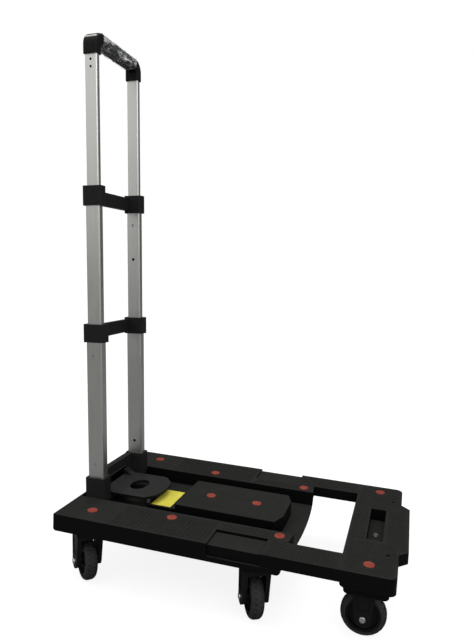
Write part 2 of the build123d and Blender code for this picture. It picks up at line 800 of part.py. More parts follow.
for side_name, side in SIDES.items():
    for stage in range(3):
        keep(make_tube(stage, side), f"{side_name}_tube_{stage + 1}")


def make_collar(base, height, stage):
    """A moulded bridge: a collar round the end of each tube of a stage, joined by a crossbar."""
    depth = tube_depths[stage] + 2 * collar_depth_margin
    width = tube_widths[stage] + 2 * collar_width_margin
    with BuildPart() as collar:
        for side in SIDES.values():
            with BuildSketch(handle.offset(base)):
                with Locations((0, side * tube_y)):
                    RectangleRounded(depth, width, collar_corner)
            extrude(amount=height)
        with BuildSketch(handle.offset(base + (height - crossbar_height) / 2)):
            with Locations(((crossbar_thickness - depth) / 2 + crossbar_setback, 0)):
                Rectangle(crossbar_thickness, tube_spacing - width + 2)
        extrude(amount=crossbar_height)
        for side in SIDES.values():
            with BuildSketch(handle.offset(base)):
                with Locations((0, side * tube_y)):
                    RectangleRounded(tube_depths[stage] + 2 * seat_gap,
                                     tube_widths[stage] + 2 * seat_gap, tube_corner)
            extrude(amount=height - collar_lip, mode=Mode.SUBTRACT)
            with BuildSketch(handle.offset(base)):
                with Locations((0, side * tube_y)):
                    RectangleRounded(tube_depths[stage + 1] + 2 * collar_lip_gap,
                                     tube_widths[stage + 1] + 2 * collar_lip_gap, tube_corner)
            extrude(amount=height, mode=Mode.SUBTRACT)
    return collar.part


keep(make_collar(lower_collar_base, lower_collar_height, 0), "lower_bridge")
keep(make_collar(upper_collar_base, upper_collar_height, 1), "upper_bridge")


def make_bushes(stage, foot, length, plug, detent, facing):
    """Guide bushes at the feet of a stage's tubes, bored for their detent plungers."""
    outer, inner = stage - 1, stage
    depth = tube_depths[outer] - 2 * tube_walls[outer] - 2 * bush_gap
    width = tube_widths[outer] - 2 * tube_walls[outer] - 2 * bush_gap
    plug_depth = tube_depths[inner] - 2 * tube_walls[inner] - 2 * seat_gap
    plug_width = tube_widths[inner] - 2 * tube_walls[inner] - 2 * seat_gap
    with BuildPart() as bushes:
        for side in SIDES.values():
            with BuildSketch(handle.offset(foot - length)):
                with Locations((0, side * tube_y)):
                    RectangleRounded(depth, width, tube_corner - tube_walls[outer])
            extrude(amount=length)
            with BuildSketch(handle.offset(foot)):
                with Locations((0, side * tube_y)):
                    RectangleRounded(plug_depth, plug_width, tube_corner - tube_walls[inner])
            extrude(amount=plug)
            bore_end = side * (tube_y - facing * plunger_travel)
            with BuildSketch(along_tube(detent, bore_end, side * facing)):
                Circle(plunger_radius + running_gap)
            extrude(amount=width, mode=Mode.SUBTRACT)
    return bushes.part


keep(make_bushes(1, stage2_foot, bush2_length, bush2_plug, lower_detent, 1), "stage_2_bushes")
keep(make_bushes(2, stage3_foot, bush3_length, bush3_plug, upper_detent, -1), "stage_3_bushes")


def make_plunger(stage, side, detent, facing):
    """A round-nosed detent plunger lying in its bush, its nose just inside the outer tube's wall."""
    reach = tube_widths[stage - 1] / 2 - tube_walls[stage - 1] - plunger_wall_gap
    with BuildPart() as plunger:
        with BuildSketch(along_tube(detent, side * (tube_y + facing * plunger_start), side * facing)):
            Circle(plunger_radius)
        extrude(amount=reach - plunger_start)
        tip = plunger.faces().filter_by(Axis.Y).sort_by(Axis.Y)[-1 if side * facing > 0 else 0]
        fillet(tip.edges(), plunger_rounding)
    return plunger.part


for side_name, side in SIDES.items():
    keep(make_plunger(1, side, lower_detent, 1), f"{side_name}_lower_plunger")
    keep(make_plunger(2, side, upper_detent, -1), f"{side_name}_upper_plunger")

# ---------------------------------------------------------------- grip

peg_depth = tube_depths[2] - 2 * tube_walls[2] - 2 * bush_gap
peg_width = tube_widths[2] - 2 * tube_walls[2] - 2 * bush_gap

with BuildPart() as grip:
    with BuildSketch(handle_front) as grip_profile:
        with Locations((0, (grip_base + grip_top) / 2)):
            Rectangle(2 * grip_half, grip_height)
        with Locations((0, grip_base + grip_bar_lift / 2)):
            Rectangle(2 * grip_leg_inner, grip_bar_lift, mode=Mode.SUBTRACT)
        top_corners = grip_profile.vertices().group_by(Axis.Y)[-1]
        fillet(top_corners, grip_corner)
    extrude(amount=grip_depth / 2, both=True)
    broad_faces = grip.faces().sort_by(Axis(hinge, out_of_the_tube))
    rims = broad_faces[0].edges() + broad_faces[-1].edges()
    fillet(rims.filter_by(lambda e: e.center().Z > hinge_height + grip_base + 1), grip_rounding)
    for side in SIDES.values():
        with BuildSketch(handle.offset(grip_base)):
            with Locations((0, side * tube_y)):
                RectangleRounded(tube_depths[2] + 2 * seat_gap, tube_widths[2] + 2 * seat_gap, tube_corner)
        extrude(amount=grip_socket_depth, mode=Mode.SUBTRACT)
        # peg that fills the tube's mouth
        with BuildSketch(handle.offset(grip_base - peg_length)):
            with Locations((0, side * tube_y)):
                RectangleRounded(peg_depth, peg_width, tube_corner - tube_walls[2])
        extrude(amount=peg_length + grip_socket_depth + 1)
        for height in screw_places:
            with BuildSketch(along_tube(height, side * tube_y, side)):
                Circle(screw_radius + seat_gap)
            extrude(amount=peg_width, mode=Mode.SUBTRACT)
keep(grip.part, "grip")

with BuildPart() as grip_screws:
    for side in SIDES.values():
        for height in screw_places:
            with BuildSketch(along_tube(height, side * (tube_y + screw_start), side)):
                Circle(screw_radius)
            extrude(amount=tube_widths[2] / 2 - screw_start - screw_recess)
keep(grip_screws.part, "grip_screws")

with BuildPart() as grip_film:
    film_plane = Plane(origin=hinge, x_dir=out_of_the_tube, z_dir=(0, -1, 0))
    with BuildSketch(film_plane):
        bar_height = grip_height - grip_bar_lift
        with Locations((0, grip_base + grip_bar_lift + bar_height / 2)):
            RectangleRounded(grip_depth + 2 * wrap, bar_height + 2 * wrap, film_corner)
            RectangleRounded(grip_depth + 2 * film_gap, bar_height + 2 * film_gap,
                             film_corner - film_thickness, mode=Mode.SUBTRACT)
    extrude(amount=film_half, both=True)
keep(grip_film.part, "grip_film")

# ---------------------------------------------------------------- casters
# Each moving caster piece is made once about a swivel axis at the origin, rolling along +X,
# and then set down at its six places.

axle = Vector(-trail, 0, wheel_radius)
leg_top = crown_top - leg_panel_depth
hub_width = wheel_width - 2 * hub_shoulder

with BuildPart() as fork:
    with BuildSketch(Plane.XY.offset(crown_bottom)):
        with Locations((-crown_setback, 0)):
            RectangleRounded(crown_length, crown_width, crown_corner)
    extrude(amount=crown_thickness)
    with BuildSketch(Plane.XZ) as leg_profile:
        with BuildLine():
            Line((-trail - leg_top_half, leg_top), (-trail + leg_top_half, leg_top))
            Line((-trail + leg_top_half, leg_top), (-trail + leg_foot_radius, wheel_radius))
            ThreePointArc(
                (-trail + leg_foot_radius, wheel_radius),
                (-trail, wheel_radius - leg_foot_radius),
                (-trail - leg_foot_radius, wheel_radius),
            )
            Line((-trail - leg_foot_radius, wheel_radius), (-trail - leg_top_half, leg_top))
        make_face()
    extrude(amount=crown_width / 2, both=True)
    with BuildSketch(Plane.XZ):
        with Locations((-trail, crown_bottom / 2)):
            Rectangle(2 * crown_length, crown_bottom)
    extrude(amount=crown_width / 2 - leg_thickness, both=True, mode=Mode.SUBTRACT)
    # shallow panel in the outer face of each leg
    for side in SIDES.values():
        with BuildSketch(Plane.XZ.offset(side * crown_width / 2)):
            with BuildLine():
                Polyline(
                    (-trail - leg_top_half + leg_panel_border, crown_bottom),
                    (-trail + leg_top_half - leg_panel_border, crown_bottom),
                    (-trail + leg_foot_radius - leg_panel_border, wheel_radius + leg_foot_radius),
                    (-trail - leg_foot_radius + leg_panel_border, wheel_radius + leg_foot_radius),
                    close=True,
                )
            make_face()
        extrude(amount=-side * leg_panel_depth, mode=Mode.SUBTRACT)
    with BuildSketch(Plane.XY.offset(crown_bottom)):
        Circle(king_pin_radius + running_gap)
    extrude(amount=crown_thickness, mode=Mode.SUBTRACT)
    with BuildSketch(Plane.XZ):
        with Locations((-trail, wheel_radius)):
            Circle(axle_radius + seat_gap)
    extrude(amount=crown_width, both=True, mode=Mode.SUBTRACT)

with BuildPart() as axle_bolt:
    with BuildSketch(along_y(axle, 0)):
        Circle(axle_radius)
    extrude(amount=crown_width / 2, both=True)
    for side in SIDES.values():
        with BuildSketch(along_y(axle, side * crown_width / 2)):
            Circle(axle_head_radius)
        extrude(amount=side * axle_head_height)
    heads = axle_bolt.faces().filter_by(Axis.Y).group_by(Axis.Y)
    fillet(heads[0].edges() + heads[-1].edges(), axle_head_height / 2)

with BuildPart() as wheel_hub:
    with BuildSketch(along_y(axle, 0)):
        Circle(rim_radius - seat_gap)
    extrude(amount=hub_width / 2, both=True)
    for side in SIDES.values():
        with BuildSketch(along_y(axle, side * hub_width / 2)):
            Circle(rim_radius - rim_web)
            Circle(hub_boss_radius + rim_web, mode=Mode.SUBTRACT)
        extrude(amount=-side * hub_recess, mode=Mode.SUBTRACT)
    with BuildSketch(along_y(axle, 0)):
        Circle(hub_boss_radius)
    extrude(amount=crown_width / 2 - leg_thickness - hub_end_gap, both=True)
    with BuildSketch(along_y(axle, 0)):
        Circle(axle_radius + running_gap)
    extrude(amount=crown_width / 2, both=True, mode=Mode.SUBTRACT)

with BuildPart() as tyre:
    with BuildSketch(along_y(axle, 0)):
        Circle(wheel_radius)
    extrude(amount=wheel_width / 2, both=True)
    fillet(tyre.edges(), tread_rounding)
    with BuildSketch(along_y(axle, 0)):
        Circle(rim_radius)
    extrude(amount=wheel_width / 2, both=True, mode=Mode.SUBTRACT)
    # knobbly tread: notches across each shoulder, leaving a plain band in the middle
    for side in SIDES.values():
        with BuildSketch(along_y(axle, side * wheel_width / 2)):
            turn = 180 / tread_notches if side > 0 else 0
            with PolarLocations(wheel_radius, tread_notches, start_angle=turn):
                Rectangle(2 * tread_notch_depth, tread_notch_width)
        extrude(amount=-side * (wheel_width / 2 - tread_band), mode=Mode.SUBTRACT)

for end, (distance, from_middle, heading) in caster_places.items():
    for side_name, side in SIDES.items():
        ground = Plane(origin=(ahead(distance), side * from_middle, 0),
                       x_dir=(cos(radians(heading)), sin(radians(heading)), 0), z_dir=(0, 0, 1))
        corner = f"{end}_{side_name}"
        keep(fork.part.moved(ground.location), f"{corner}_fork")
        keep(axle_bolt.part.moved(ground.location), f"{corner}_axle_bolt")
        keep(wheel_hub.part.moved(ground.location), f"{corner}_hub")
        keep(tyre.part.moved(ground.location), f"{corner}_tyre")


def make_plates(places):
    """Caster plates screwed under the deck, each with a race and a king pin for its fork."""
    with BuildPart() as plates:
        with BuildSketch(Plane.XY.offset(boss_bottom - plate_thickness)):
            with Locations(places):
                RectangleRounded(plate_size, plate_size, plate_corner)
        extrude(amount=plate_thickness)
        with BuildSketch(Plane.XY.offset(crown_top + crown_gap)):
            with Locations(places):
                Circle(race_radius)
        extrude(amount=race_height)
        with BuildSketch(Plane.XY.offset(crown_bottom - crown_gap)):
            with Locations(places):
                Circle(king_pin_radius)
        extrude(amount=crown_thickness + 2 * crown_gap)
        with BuildSketch(Plane.XY.offset(crown_bottom - crown_gap - king_pin_head_height)):
            with Locations(places):
                Circle(king_pin_head)
        extrude(amount=king_pin_head_height)
        # heads of the screws that hold the plate
        bolt_spacing = plate_size - 2 * plate_bolt_inset
        with BuildSketch(Plane.XY.offset(crown_top + crown_gap + plate_bolt_gap)):
            for place in places:
                with Locations(place):
                    with GridLocations(bolt_spacing, bolt_spacing, 2, 2):
                        Circle(plate_bolt_radius)
        extrude(amount=race_height - plate_bolt_gap)
    return plates.part


base_caster_points = [
    (ahead(caster_places[end][0]), s * caster_side) for end in ("rear", "mid") for s in SIDES.values()
]
keep(make_plates(base_caster_points), "base_caster_plates")
keep(make_plates(front_caster_points), "front_caster_plates")

os.makedirs("parts", exist_ok=True)
for name, piece in pieces.items():
    export_step(piece, f"parts/{name}.step")
print(len(pieces), "pieces; rear edge at X", round(REAR, 3), "hinge", hinge)
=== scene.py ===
"""Looks of the folding platform cart: finishes for its CAD parts, the moulded treads of the deck,
the crinkled film round the grip, and a plain studio. Metres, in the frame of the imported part:
+X forward, +Y left, +Z up."""

import json
from math import cos, hypot, pi, radians, sin

import bmesh
import bpy
from mathutils import Matrix, Vector, noise


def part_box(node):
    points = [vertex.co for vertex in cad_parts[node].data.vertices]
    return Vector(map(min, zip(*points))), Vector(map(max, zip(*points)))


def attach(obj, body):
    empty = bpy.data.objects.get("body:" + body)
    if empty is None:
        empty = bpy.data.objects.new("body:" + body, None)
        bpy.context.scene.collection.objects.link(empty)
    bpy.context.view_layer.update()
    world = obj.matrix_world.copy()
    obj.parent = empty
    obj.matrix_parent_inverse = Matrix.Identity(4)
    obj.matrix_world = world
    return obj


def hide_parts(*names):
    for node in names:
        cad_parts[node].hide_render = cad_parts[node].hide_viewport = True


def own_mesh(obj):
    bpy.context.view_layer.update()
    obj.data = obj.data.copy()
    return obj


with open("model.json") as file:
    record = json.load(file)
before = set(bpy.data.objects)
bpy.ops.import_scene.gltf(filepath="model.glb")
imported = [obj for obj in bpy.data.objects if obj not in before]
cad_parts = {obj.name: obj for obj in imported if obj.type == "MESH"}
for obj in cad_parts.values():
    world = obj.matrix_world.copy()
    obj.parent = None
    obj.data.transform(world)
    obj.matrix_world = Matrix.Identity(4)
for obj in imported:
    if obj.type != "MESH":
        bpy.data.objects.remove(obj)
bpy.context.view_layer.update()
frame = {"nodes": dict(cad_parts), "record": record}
nodes = frame["nodes"]
MM = 0.001

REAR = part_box("base_deck")[0].x
DECK_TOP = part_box("base_deck")[1].z
LEAN = radians(2.5)         # backward lean of the raised handle


def ahead(mm):
    """X of a point this many millimetres forward of the deck's rear edge."""
    return REAR + mm * MM


# ---------------------------------------------------------------- materials


class Finish:
    """A material made of nodes on one Principled shader, with short ways to add them."""

    def __init__(self, name, colour, roughness, metallic=0.0, specular=0.5):
        self.material = bpy.data.materials.new(name)
        self.material.use_nodes = True
        self.tree = self.material.node_tree
        self.shader = self.tree.nodes["Principled BSDF"]
        self.set("Base Color", (*colour, 1.0))
        self.set("Roughness", roughness)
        self.set("Metallic", metallic)
        self.set("Specular IOR Level", specular)
        self.place = self.add("ShaderNodeTexCoord")

    def add(self, kind, **values):
        node = self.tree.nodes.new(kind)
        for key, value in values.items():
            setattr(node, key, value)
        return node

    def set(self, socket, value):
        self.shader.inputs[socket].default_value = value

    def link(self, output, target):
        self.tree.links.new(output, target)

    def stretched(self, scale):
        """Object coordinates scaled by a vector."""
        mapping = self.add("ShaderNodeMapping")
        mapping.inputs["Scale"].default_value = scale
        self.link(self.place.outputs["Object"], mapping.inputs["Vector"])
        return mapping.outputs["Vector"]

    def noise(self, scale, detail=3.0, vector=None, roughness=0.5):
        """Cloudy noise, from about 0.3 to 0.7. Scales are in turns per metre."""
        node = self.add("ShaderNodeTexNoise")
        node.inputs["Scale"].default_value = scale
        node.inputs["Detail"].default_value = detail
        node.inputs["Roughness"].default_value = roughness
        self.link(vector or self.place.outputs["Object"], node.inputs["Vector"])
        return node.outputs["Fac"]

    def cells(self, scale):
        node = self.add("ShaderNodeTexVoronoi")
        node.inputs["Scale"].default_value = scale
        self.link(self.place.outputs["Object"], node.inputs["Vector"])
        return node.outputs["Distance"]

    def remap(self, value, low, high, from_low=0.3, from_high=0.7):
        """A value spread from one range to another, and held at its ends."""
        node = self.add("ShaderNodeMapRange")
        node.inputs["From Min"].default_value = from_low
        node.inputs["From Max"].default_value = from_high
        node.inputs["To Min"].default_value = low
        node.inputs["To Max"].default_value = high
        self.link(value, node.inputs["Value"])
        return node.outputs["Result"]

    def tint(self, factor, colour_a, colour_b):
        """Base colour from a to b by a factor."""
        mix = self.add("ShaderNodeMix", data_type="RGBA")
        self.link(factor, mix.inputs["Factor"])
        for socket, colour in (("A", colour_a), ("B", colour_b)):
            target = next(i for i in mix.inputs if i.name == socket and i.type == "RGBA")
            target.default_value = (*colour, 1.0)
        result = next(o for o in mix.outputs if o.type == "RGBA")
        self.link(result, self.shader.inputs["Base Color"])

    def rough(self, value):
        self.link(value, self.shader.inputs["Roughness"])

    def bump(self, height, strength, distance=0.001, below=None):
        node = self.add("ShaderNodeBump")
        node.inputs["Strength"].default_value = strength
        node.inputs["Distance"].default_value = distance
        self.link(height, node.inputs["Height"])
        if below is not None:
            self.link(below, node.inputs["Normal"])
        self.link(node.outputs["Normal"], self.shader.inputs["Normal"])
        return node.outputs["Normal"]

    def facing_up(self):
        """1 on faces that look straight up at rest, 0 on walls: the mask of the painted top light."""
        split = self.add("ShaderNodeSeparateXYZ")
        self.link(self.place.outputs["Normal"], split.inputs["Vector"])
        return self.remap(split.outputs["Z"], 0.0, 1.0, 0.55, 0.95)


def moulded(name, wall, top, roughness, grain, grain_depth, specular):
    """Grained moulded plastic with painted light and shade: a paler colour painted on faces that look up
    and a deeper one on its walls, broken up a little by random mottle.
    """
    finish = Finish(name, wall, roughness, specular=specular)
    mottle = finish.noise(35.0, 5.0)
    # painted light and shade: faces that look up go towards the paler top colour, walls keep the deeper
    # wall colour
    painted_top_light = finish.add("ShaderNodeMath", operation="MULTIPLY")
    finish.link(finish.facing_up(), painted_top_light.inputs[0])
    finish.link(finish.remap(mottle, 0.82, 1.0), painted_top_light.inputs[1])
    finish.tint(painted_top_light.outputs["Value"], wall, top)
    finish.rough(finish.remap(finish.noise(140.0, 4.0), roughness - 0.06, roughness + 0.08))
    soft = finish.bump(finish.noise(220.0, 2.0), 0.12, 0.0004)
    finish.bump(finish.cells(grain), grain_depth, 0.0003, below=soft)
    return finish.material


def aluminium():
    """Satin anodised tube, drawn along its length: faint streaks that run up the tube."""
    finish = Finish("tube_aluminium", (0.60, 0.60, 0.575), 0.34, metallic=1.0)
    streaks = finish.noise(1.0, 6.0, finish.stretched((900.0, 900.0, 6.0)), 0.6)
    cloud = finish.noise(9.0, 3.0)
    finish.tint(finish.remap(streaks, 0.0, 1.0), (0.565, 0.565, 0.54), (0.64, 0.64, 0.615))
    blend = finish.add("ShaderNodeMath", operation="ADD")
    finish.link(finish.remap(streaks, 0.0, 0.08), blend.inputs[0])
    finish.link(finish.remap(cloud, 0.29, 0.36), blend.inputs[1])
    finish.rough(blend.outputs["Value"])
    finish.bump(streaks, 0.10, 0.0002)
    finish.set("Anisotropic", 0.35)
    return finish.material


def zinc():
    """Zinc-plated steel, a little mottled."""
    finish = Finish("zinc_steel", (0.62, 0.62, 0.60), 0.28, metallic=1.0)
    mottle = finish.noise(260.0, 4.0)
    finish.tint(finish.remap(mottle, 0.0, 1.0), (0.50, 0.50, 0.49), (0.72, 0.72, 0.70))
    finish.rough(finish.remap(mottle, 0.22, 0.38))
    finish.bump(finish.noise(900.0, 2.0), 0.06, 0.0002)
    return finish.material


def dark_screw():
    """Blackened steel."""
    finish = Finish("black_screw", (0.012, 0.012, 0.013), 0.35, metallic=0.6)
    finish.rough(finish.remap(finish.noise(500.0), 0.28, 0.48))
    finish.bump(finish.noise(900.0, 2.0), 0.08, 0.0002)
    return finish.material


def pad_rubber():
    """Orange-red anti-slip rubber, finely pebbled and a little scuffed."""
    finish = Finish("pad_rubber", (0.25, 0.045, 0.030), 0.66, specular=0.2)
    worn = finish.noise(110.0, 5.0)
    finish.tint(finish.remap(worn, 0.0, 1.0), (0.20, 0.034, 0.024), (0.31, 0.062, 0.038))
    finish.rough(finish.remap(worn, 0.55, 0.72))
    finish.bump(finish.cells(1300.0), 0.30, 0.0004)
    return finish.material


def tyre_rubber():
    """Black rubber, a little dusty."""
    finish = Finish("tyre", (0.011, 0.011, 0.011), 0.68, specular=0.4)
    dust = finish.noise(90.0, 5.0)
    finish.tint(finish.remap(dust, 0.0, 1.0), (0.008, 0.008, 0.008), (0.024, 0.024, 0.023))
    finish.rough(finish.remap(dust, 0.60, 0.80))
    finish.bump(finish.noise(1500.0, 3.0), 0.25, 0.0004)
    return finish.material


def yellow_vinyl():
    """Plain bright yellow label, slightly creased."""
    finish = Finish("yellow_sticker", (0.83, 0.74, 0.075), 0.38)
    fade = finish.noise(40.0, 4.0)
    finish.tint(finish.remap(fade, 0.0, 1.0), (0.76, 0.67, 0.065), (0.88, 0.80, 0.11))
    finish.rough(finish.remap(fade, 0.32, 0.46))
    finish.bump(finish.noise(120.0, 2.0), 0.15, 0.0006)
    return finish.material


def acetal():
    """Grey acetal of the guide bushes."""
    finish = Finish("bush_plastic", (0.24, 0.24, 0.24), 0.42)
    finish.rough(finish.remap(finish.noise(300.0), 0.36, 0.50))
    finish.bump(finish.noise(900.0, 2.0), 0.08, 0.0002)
    return finish.material


def clear_film():
    """Crumpled clear film: nearly invisible where it lies flat, with painted highlights along its folds,
    where it turns opaque pale white.
    """
    finish = Finish("clear_film", (0.86, 0.87, 0.88), 0.16, specular=0.8)
    folds = finish.noise(1.0, 4.0, finish.stretched((70.0, 26.0, 100.0)), 0.62)
    creases = finish.noise(1.0, 2.0, finish.stretched((240.0, 60.0, 240.0)))
    painted_fold_highlights = finish.add("ShaderNodeMath", operation="MULTIPLY")
    finish.link(finish.remap(folds, 0.0, 1.0, 0.47, 0.62), painted_fold_highlights.inputs[0])
    finish.link(finish.remap(creases, 0.25, 1.0, 0.40, 0.60), painted_fold_highlights.inputs[1])
    # painted highlight: the film turns opaque pale white where the fold mask is high
    finish.link(finish.remap(painted_fold_highlights.outputs["Value"], 0.04, 0.95, 0.05, 0.9), finish.shader.inputs["Alpha"])
    finish.rough(finish.remap(creases, 0.10, 0.26))
    finish.bump(creases, 0.5, 0.0010)
    return finish.material


MOULDED = {
    # slot: wall colour (painted shade), top colour (painted light), roughness, grain, grain depth,
    # specular level
    "deck_plastic": ((0.0022, 0.0022, 0.0022), (0.021, 0.021, 0.0195), 0.52, 1800.0, 0.25, 0.08),
    "bridge_plastic": ((0.014, 0.014, 0.0145), (0.022, 0.022, 0.022), 0.46, 2400.0, 0.35, 0.08),
    "pedal_plastic": ((0.006, 0.006, 0.006), (0.026, 0.026, 0.0255), 0.42, 2200.0, 0.15, 0.08),
    "grip_plastic": ((0.008, 0.008, 0.008), (0.010, 0.010, 0.010), 0.44, 2400.0, 0.25, 0.08),
    "fork_plastic": ((0.0065, 0.0065, 0.007), (0.009, 0.009, 0.009), 0.42, 1500.0, 0.20, 0.15),
    "hub_plastic": ((0.006, 0.006, 0.006), (0.009, 0.009, 0.009), 0.45, 1500.0, 0.20, 0.15),
}
FINISHES = {name: moulded(name, *values) for name, values in MOULDED.items()}
FINISHES.update({
    "bush_plastic": acetal(),
    "yellow_sticker": yellow_vinyl(),
    "pad_rubber": pad_rubber(),
    "tube_aluminium": aluminium(),
    "zinc_steel": zinc(),
    "black_screw": dark_screw(),
    "tyre": tyre_rubber(),
    "clear_film": clear_film(),
})

for part in frame["record"]["subparts"]:
    for slot in nodes[part["node"]].material_slots:
        slot.material = FINISHES[part["material_slot"]]
# painted shade: the screws in the top tubes get the black finish to stand for the shade down their holes
for slot in nodes["grip_screws"].material_slots:
    slot.material = FINISHES["black_screw"]

# ---------------------------------------------------------------- moulded treads


def new_piece(name, mesh, slot, body):
    """Make an object of a bmesh, with the finish of a slot, riding on a body."""
    data = bpy.data.meshes.new(name)
    mesh.to_mesh(data)
    mesh.free()
    piece = bpy.data.objects.new(name, data)
    bpy.context.scene.collection.objects.link(piece)
    data.materials.append(FINISHES[slot])
    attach(piece, body)
    return piece


# Millimetres
TREAD_PITCH = 8.0
TREAD_BLOCK = 5.8
TREAD_BEVEL = 0.8
TREAD_RISE = 0.8
TREAD_ROOT = 0.15
PAD_RADIUS = 9.5
SCREW_RADIUS = 3.8
CORNER_RADIUS = 5.0         # left bare at the rounded front corners


def add_block(mesh, x, y):
    """One bevelled tread block, standing on the deck and rooted a little in it."""
    rings = []
    for half, height in (
        (TREAD_BLOCK / 2, -TREAD_ROOT),
        (TREAD_BLOCK / 2, TREAD_RISE - TREAD_BEVEL / 2),
        (TREAD_BLOCK / 2 - TREAD_BEVEL, TREAD_RISE),
    ):
        corners = ((-half, -half), (half, -half), (half, half), (-half, half))
        z = DECK_TOP + height * MM
        rings.append([mesh.verts.new((ahead(x + dx), (y + dy) * MM, z)) for dx, dy in corners])
    mesh.faces.new(reversed(rings[0]))
    mesh.faces.new(rings[-1])
    for lower, upper in zip(rings, rings[1:]):
        for i in range(4):
            j = (i + 1) % 4
            mesh.faces.new((lower[i], lower[j], upper[j], upper[i]))


def make_tread(name, body, fields, bare):
    """Rows of blocks over both sides' fields of a deck: (start, end, inner, outer) in millimetres
    from the rear edge and from the middle. None stands on a bare spot: (distance, side, radius)."""
    mesh = bmesh.new()
    for start, end, inner, outer in fields:
        columns = int((end - start) / TREAD_PITCH)
        rows = int((outer - inner) / TREAD_PITCH)
        for column in range(columns):
            x = (start + end) / 2 + (column - (columns - 1) / 2) * TREAD_PITCH
            for row in range(rows):
                y = (inner + outer) / 2 + (row - (rows - 1) / 2) * TREAD_PITCH
                if all(hypot(x - bare_x, y - bare_y) > radius + TREAD_PITCH / 2
                       for bare_x, bare_y, radius in bare):
                    add_block(mesh, x, y)
                    if y > TREAD_BLOCK / 2:
                        add_block(mesh, x, -y)
    new_piece(name, mesh, "deck_plastic", body)


make_tread(
    "base_tread", "base",
    fields=[(108.0, 297.0, 106.0, 191.0), (305.0, 428.0, 104.5, 135.0)],
    bare=[(208.0, 125.0, PAD_RADIUS), (412.6, 119.5, PAD_RADIUS)],
)
make_tread(
    "extension_tread", "extension",
    fields=[
        (400.0, 524.0, 142.0, 191.0),
        (531.0, 614.0, 76.0, 191.0),
        (531.0, 556.0, 0.0, 72.0),
        (593.0, 630.0, 0.0, 88.0),
    ],
    bare=[(571.7, 162.0, PAD_RADIUS), (600.0, 118.0, SCREW_RADIUS), (617.6, 195.0, CORNER_RADIUS)],
)

# ---------------------------------------------------------------- film round the grip

# Millimetres, across the bar and up the handle
FILM_HALF_DEPTH = 15.9
FILM_HALF_HEIGHT = 10.6
FILM_SKIN = 0.15
CRINKLE = 1.7
LOOSE_CRINKLE = 3.6         # at the loose left end
LOOSE_START = 0.72          # where the loose end begins, as a share of the sleeve's length
FILM_SQUARENESS = 5.0
FILM_RINGS = 150
FILM_STEPS = 64
FOLDS_ACROSS = 120.0        # scales of the folds, in turns per metre
FOLDS_ALONG = 48.0
FOLD_SHARPNESS = 2.6
FINE_FOLDS = 3.1            # the fine folds are this much smaller
FINE_SHARE = 0.35
FINE_SHIFT = Vector((5.0, 1.0, 2.0))


def squared(share, half):
    """One coordinate of a squared oval, from the sine or cosine of the turn round it."""
    return half * abs(share) ** (2 / FILM_SQUARENESS) * (1 if share > 0 else -1)


def wrap_film():
    """The crumpled sleeve of clear film still on the grip, bunched up loose at its left end."""
    low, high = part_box("grip_film")
    centre = (low + high) / 2
    across = Vector((cos(LEAN), 0.0, sin(LEAN)))
    upward = Vector((-sin(LEAN), 0.0, cos(LEAN)))
    mesh = bmesh.new()
    rings = []
    for i in range(FILM_RINGS + 1):
        along = i / FILM_RINGS
        y = low.y + (high.y - low.y) * along
        loose = max(0.0, (along - LOOSE_START) / (1.0 - LOOSE_START)) ** 2
        amplitude = CRINKLE + (LOOSE_CRINKLE - CRINKLE) * loose
        ring = []
        for j in range(FILM_STEPS):
            angle = 2 * pi * j / FILM_STEPS
            section = (across * squared(cos(angle), FILM_HALF_DEPTH)
                       + upward * squared(sin(angle), FILM_HALF_HEIGHT)) * MM
            spot = Vector((section.x * FOLDS_ACROSS, y * FOLDS_ALONG, section.z * FOLDS_ACROSS))
            folds = 1.0 - abs(noise.noise(spot)) * FOLD_SHARPNESS
            fine = noise.noise(spot * FINE_FOLDS + FINE_SHIFT)
            lift = amplitude * (max(0.0, folds) ** 2 + FINE_SHARE * max(0.0, fine)) * MM
            place = centre + section + section.normalized() * lift
            ring.append(mesh.verts.new((place.x, y, place.z)))
        rings.append(ring)
    for near, far in zip(rings, rings[1:]):
        for j in range(FILM_STEPS):
            k = (j + 1) % FILM_STEPS
            mesh.faces.new((near[j], near[k], far[k], far[j]))
    bmesh.ops.recalc_face_normals(mesh, faces=mesh.faces)
    for face in mesh.faces:
        face.smooth = True
    film = new_piece("crinkled_film", mesh, "clear_film", "top_stage")
    skin = film.modifiers.new("skin", "SOLIDIFY")
    skin.thickness = FILM_SKIN * MM
    skin.offset = 1.0
    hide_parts("grip_film")


wrap_film()

# ---------------------------------------------------------------- pedal springs


def make_springs():
    """The pedal's return springs: a copy of the CAD coils in zinc-plated steel, riding on the base."""
    coils = bpy.data.objects.new("return_springs", nodes["pedal_springs"].data.copy())
    bpy.context.scene.collection.objects.link(coils)
    coils.material_slots[0].material = FINISHES["zinc_steel"]
    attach(coils, "base")
    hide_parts("pedal_springs")
    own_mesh(coils)


make_springs()

# ---------------------------------------------------------------- studio


HORIZON_LIGHT, HIGH_LIGHT = 0.52, 1.05
HIGH = 0.32                 # sine of the height above which the light is full
NEAR_LIGHT, FAR_LIGHT = 1.0, 0.14
NEAR_SIDE, FAR_SIDE = -0.05, 0.45
FLOOR_SIZE = 30.0
FLOOR_GLOW = 0.86


